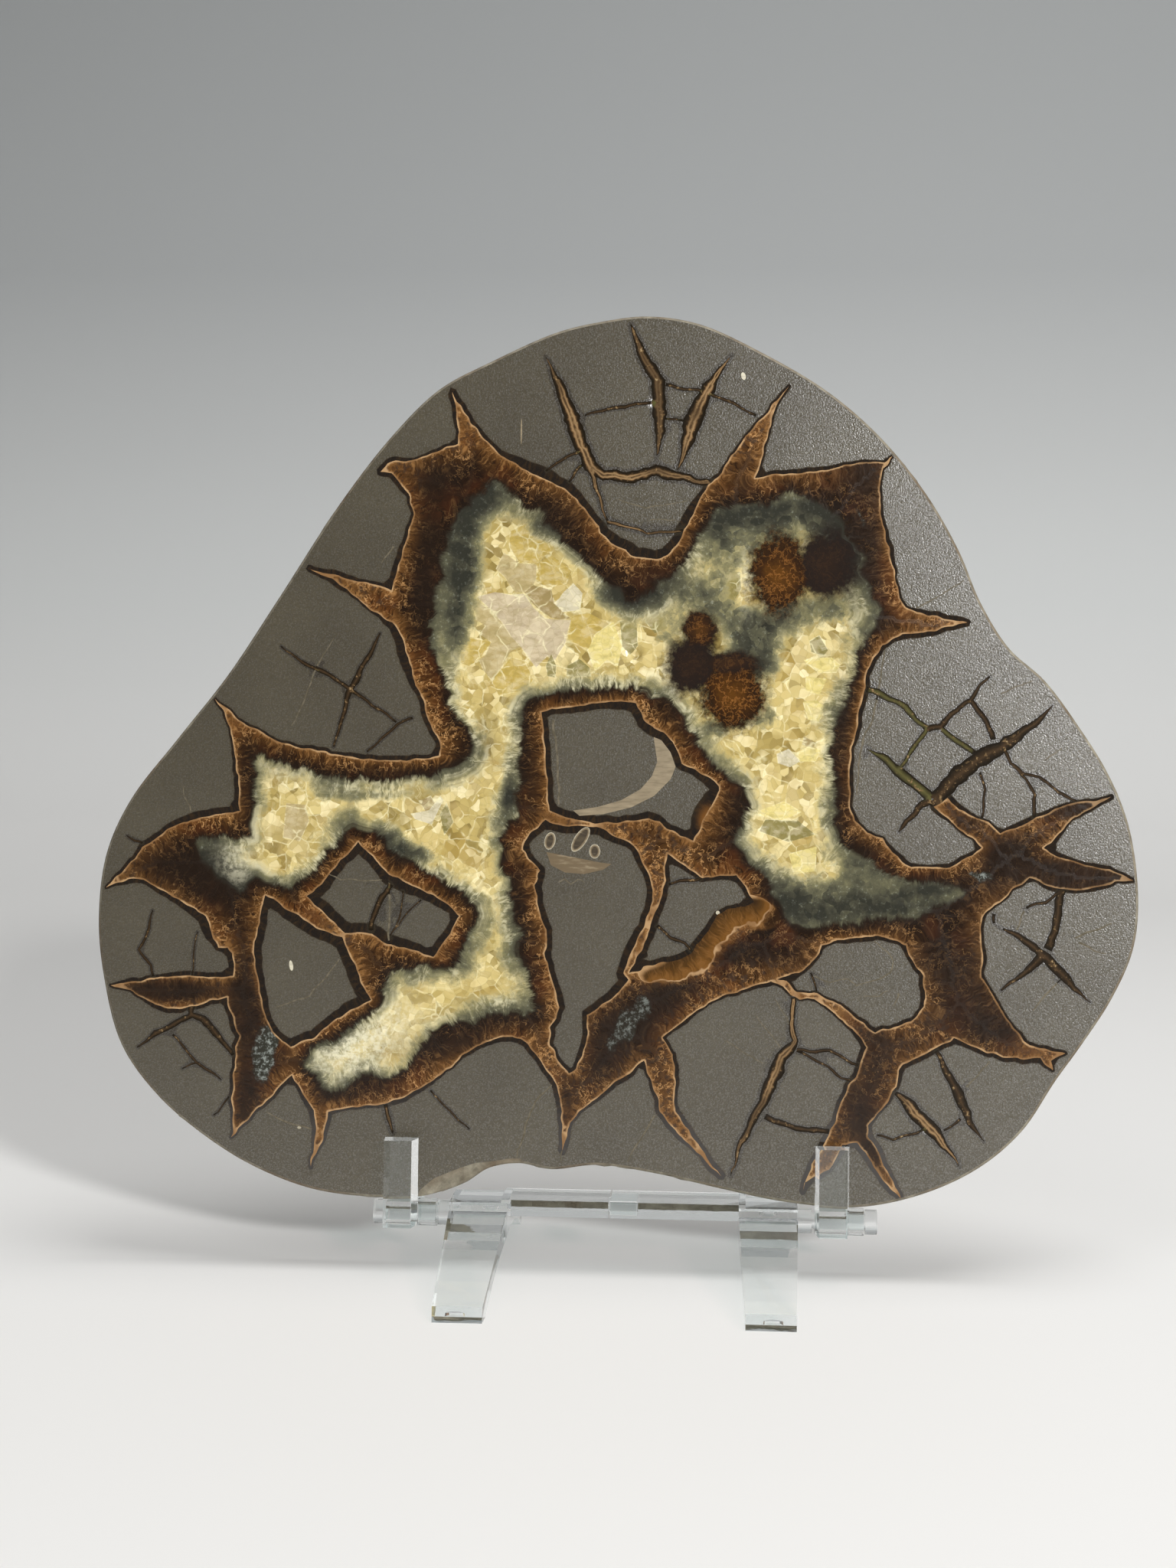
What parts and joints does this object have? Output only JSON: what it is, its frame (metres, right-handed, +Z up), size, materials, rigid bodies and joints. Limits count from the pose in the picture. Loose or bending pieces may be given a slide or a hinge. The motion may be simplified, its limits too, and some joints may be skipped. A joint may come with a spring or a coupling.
{
  "type": "septarian nodule slice on stand",
  "caption": "Polished slice of a septarian nodule with calcite-filled cracks, leaning back on a clear display stand whose cradle wings swivel.",
  "frame": {"origin": "on the table, in the middle of the part's footprint", "axes": "+Z up, -Y towards the polished face, X along the stand's bar and axles"},
  "size_m": [0.1592, 0.0602, 0.1468],
  "materials": {
    "mudstone": "polished face, rough rim",
    "calcite": "polished, translucent",
    "clear_plastic": "clear, moulded"
  },
  "bodies": {
    "stand": {"stand_half_left": "clear_plastic", "stand_half_right": "clear_plastic"},
    "cradle": {"wing_left": "clear_plastic", "wing_right": "clear_plastic", "nodule_slice": "mudstone", "calcite_crystals": "calcite"}
  },
  "joints": [
    {"name": "cradle_swivel", "type": "hinge", "parent": "stand", "child": "cradle", "pos_m": [0, 0, 0.0084], "axis": [-1, 0, 0], "range_deg": [-10, 2]}
  ]
}
